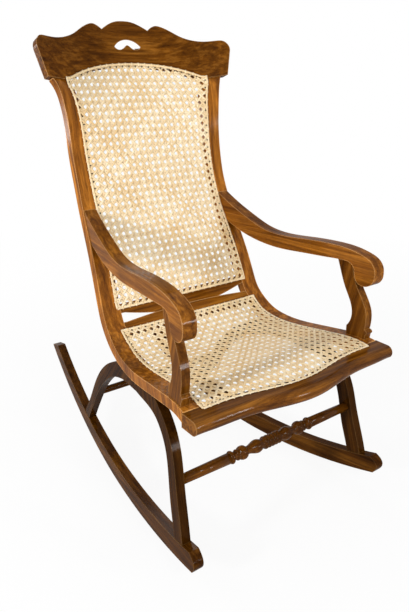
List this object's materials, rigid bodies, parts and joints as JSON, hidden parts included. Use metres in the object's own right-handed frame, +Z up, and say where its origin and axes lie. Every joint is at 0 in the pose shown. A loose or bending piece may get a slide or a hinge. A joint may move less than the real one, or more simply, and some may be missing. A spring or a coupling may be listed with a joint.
{
  "type": "rocking armchair",
  "caption": "Varnished hardwood rocking armchair with a shaped crest rail, caned back and seat, scrolled arms, arched legs and long splayed rockers.",
  "frame": {"origin": "on the floor under the middle of the chair's bounding box", "axes": "+Z up, +X to the sitter's left, the chair faces -Y"},
  "size_m": [0.5606, 0.944, 1.0716],
  "materials": {
    "frame_wood": "satin varnish",
    "cane": "natural split cane",
    "dowel_wood": "bare",
    "screw_steel": "plain"
  },
  "bodies": {
    "root": {"crest_rail": "frame_wood", "left_post": "frame_wood", "right_post": "frame_wood", "back_rail": "frame_wood", "seat_back_rail": "frame_wood", "seat_front_rail": "frame_wood", "left_arm": "frame_wood", "right_arm": "frame_wood", "left_arm_support": "frame_wood", "right_arm_support": "frame_wood", "left_front_leg": "frame_wood", "right_front_leg": "frame_wood", "left_rear_leg": "frame_wood", "right_rear_leg": "frame_wood", "front_stretcher": "frame_wood", "rear_stretcher": "frame_wood", "left_rocker": "frame_wood", "right_rocker": "frame_wood", "back_cane": "cane", "seat_cane": "cane", "crest_dowels": "dowel_wood", "back_rail_dowels": "dowel_wood", "seat_back_dowels": "dowel_wood", "seat_front_dowels": "dowel_wood", "arm_dowels": "dowel_wood", "support_dowels": "dowel_wood", "foot_dowels": "dowel_wood", "leg_screws": "screw_steel"}
  },
  "joints": []
}
